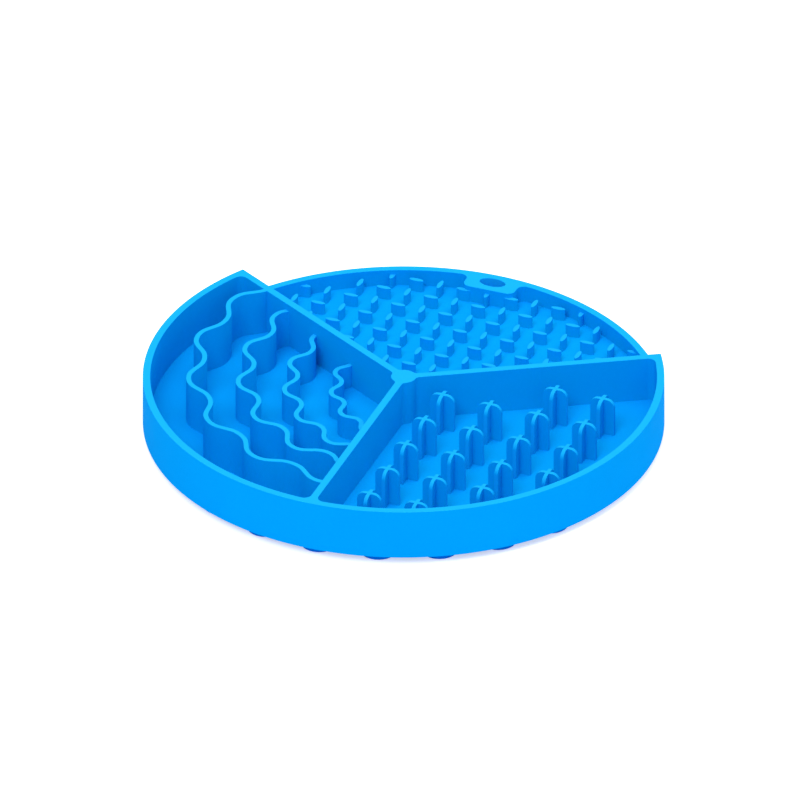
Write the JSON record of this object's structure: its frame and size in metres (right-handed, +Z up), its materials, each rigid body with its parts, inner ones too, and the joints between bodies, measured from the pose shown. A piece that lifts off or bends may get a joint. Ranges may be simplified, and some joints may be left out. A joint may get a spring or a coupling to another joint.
{
  "type": "lick mat",
  "caption": "Round silicone lick mat with three textured food compartments inside a stepped rim, a hang tab with an oval hole, and suction cups underneath.",
  "frame": {"origin": "middle of the mat, on the surface that the suction cups stand on", "axes": "+Z up; +Y from the hub to the hang tab in the low rim; +X to the right of a viewer facing the tab"},
  "size_m": [0.206, 0.206, 0.0245],
  "materials": {
    "silicone": "matte moulded silicone, azure blue"
  },
  "bodies": {
    "root": {"base": "silicone", "tall_rim": "silicone", "low_rim_left": "silicone", "low_rim_right": "silicone", "hang_tab": "silicone", "hub": "silicone", "right_divider": "silicone", "left_divider": "silicone", "front_divider": "silicone", "outer_wave_ridge": "silicone", "second_wave_ridge": "silicone", "third_wave_ridge": "silicone", "inner_wave_ridge": "silicone", "cross_posts_row_1": "silicone", "cross_posts_row_2": "silicone", "cross_posts_row_3": "silicone", "cross_posts_row_4": "silicone", "cross_posts_row_5": "silicone", "cross_posts_row_6": "silicone", "lens_posts_row_1": "silicone", "lens_posts_row_2": "silicone", "lens_posts_row_3": "silicone", "lens_posts_row_4": "silicone", "lens_posts_row_5": "silicone", "lens_posts_row_6": "silicone", "lens_posts_row_7": "silicone", "lens_posts_row_8": "silicone", "lens_posts_row_9": "silicone", "suction_cup_1": "silicone", "suction_cup_2": "silicone", "suction_cup_3": "silicone", "suction_cup_4": "silicone", "suction_cup_5": "silicone", "suction_cup_6": "silicone", "suction_cup_7": "silicone", "suction_cup_8": "silicone", "suction_cup_9": "silicone", "suction_cup_10": "silicone", "suction_cup_11": "silicone", "suction_cup_12": "silicone", "suction_cup_13": "silicone", "suction_cup_14": "silicone", "suction_cup_15": "silicone", "suction_cup_16": "silicone", "suction_cup_17": "silicone", "suction_cup_18": "silicone", "suction_cup_19": "silicone", "suction_cup_20": "silicone", "suction_cup_21": "silicone", "suction_cup_22": "silicone", "suction_cup_23": "silicone"}
  },
  "joints": []
}
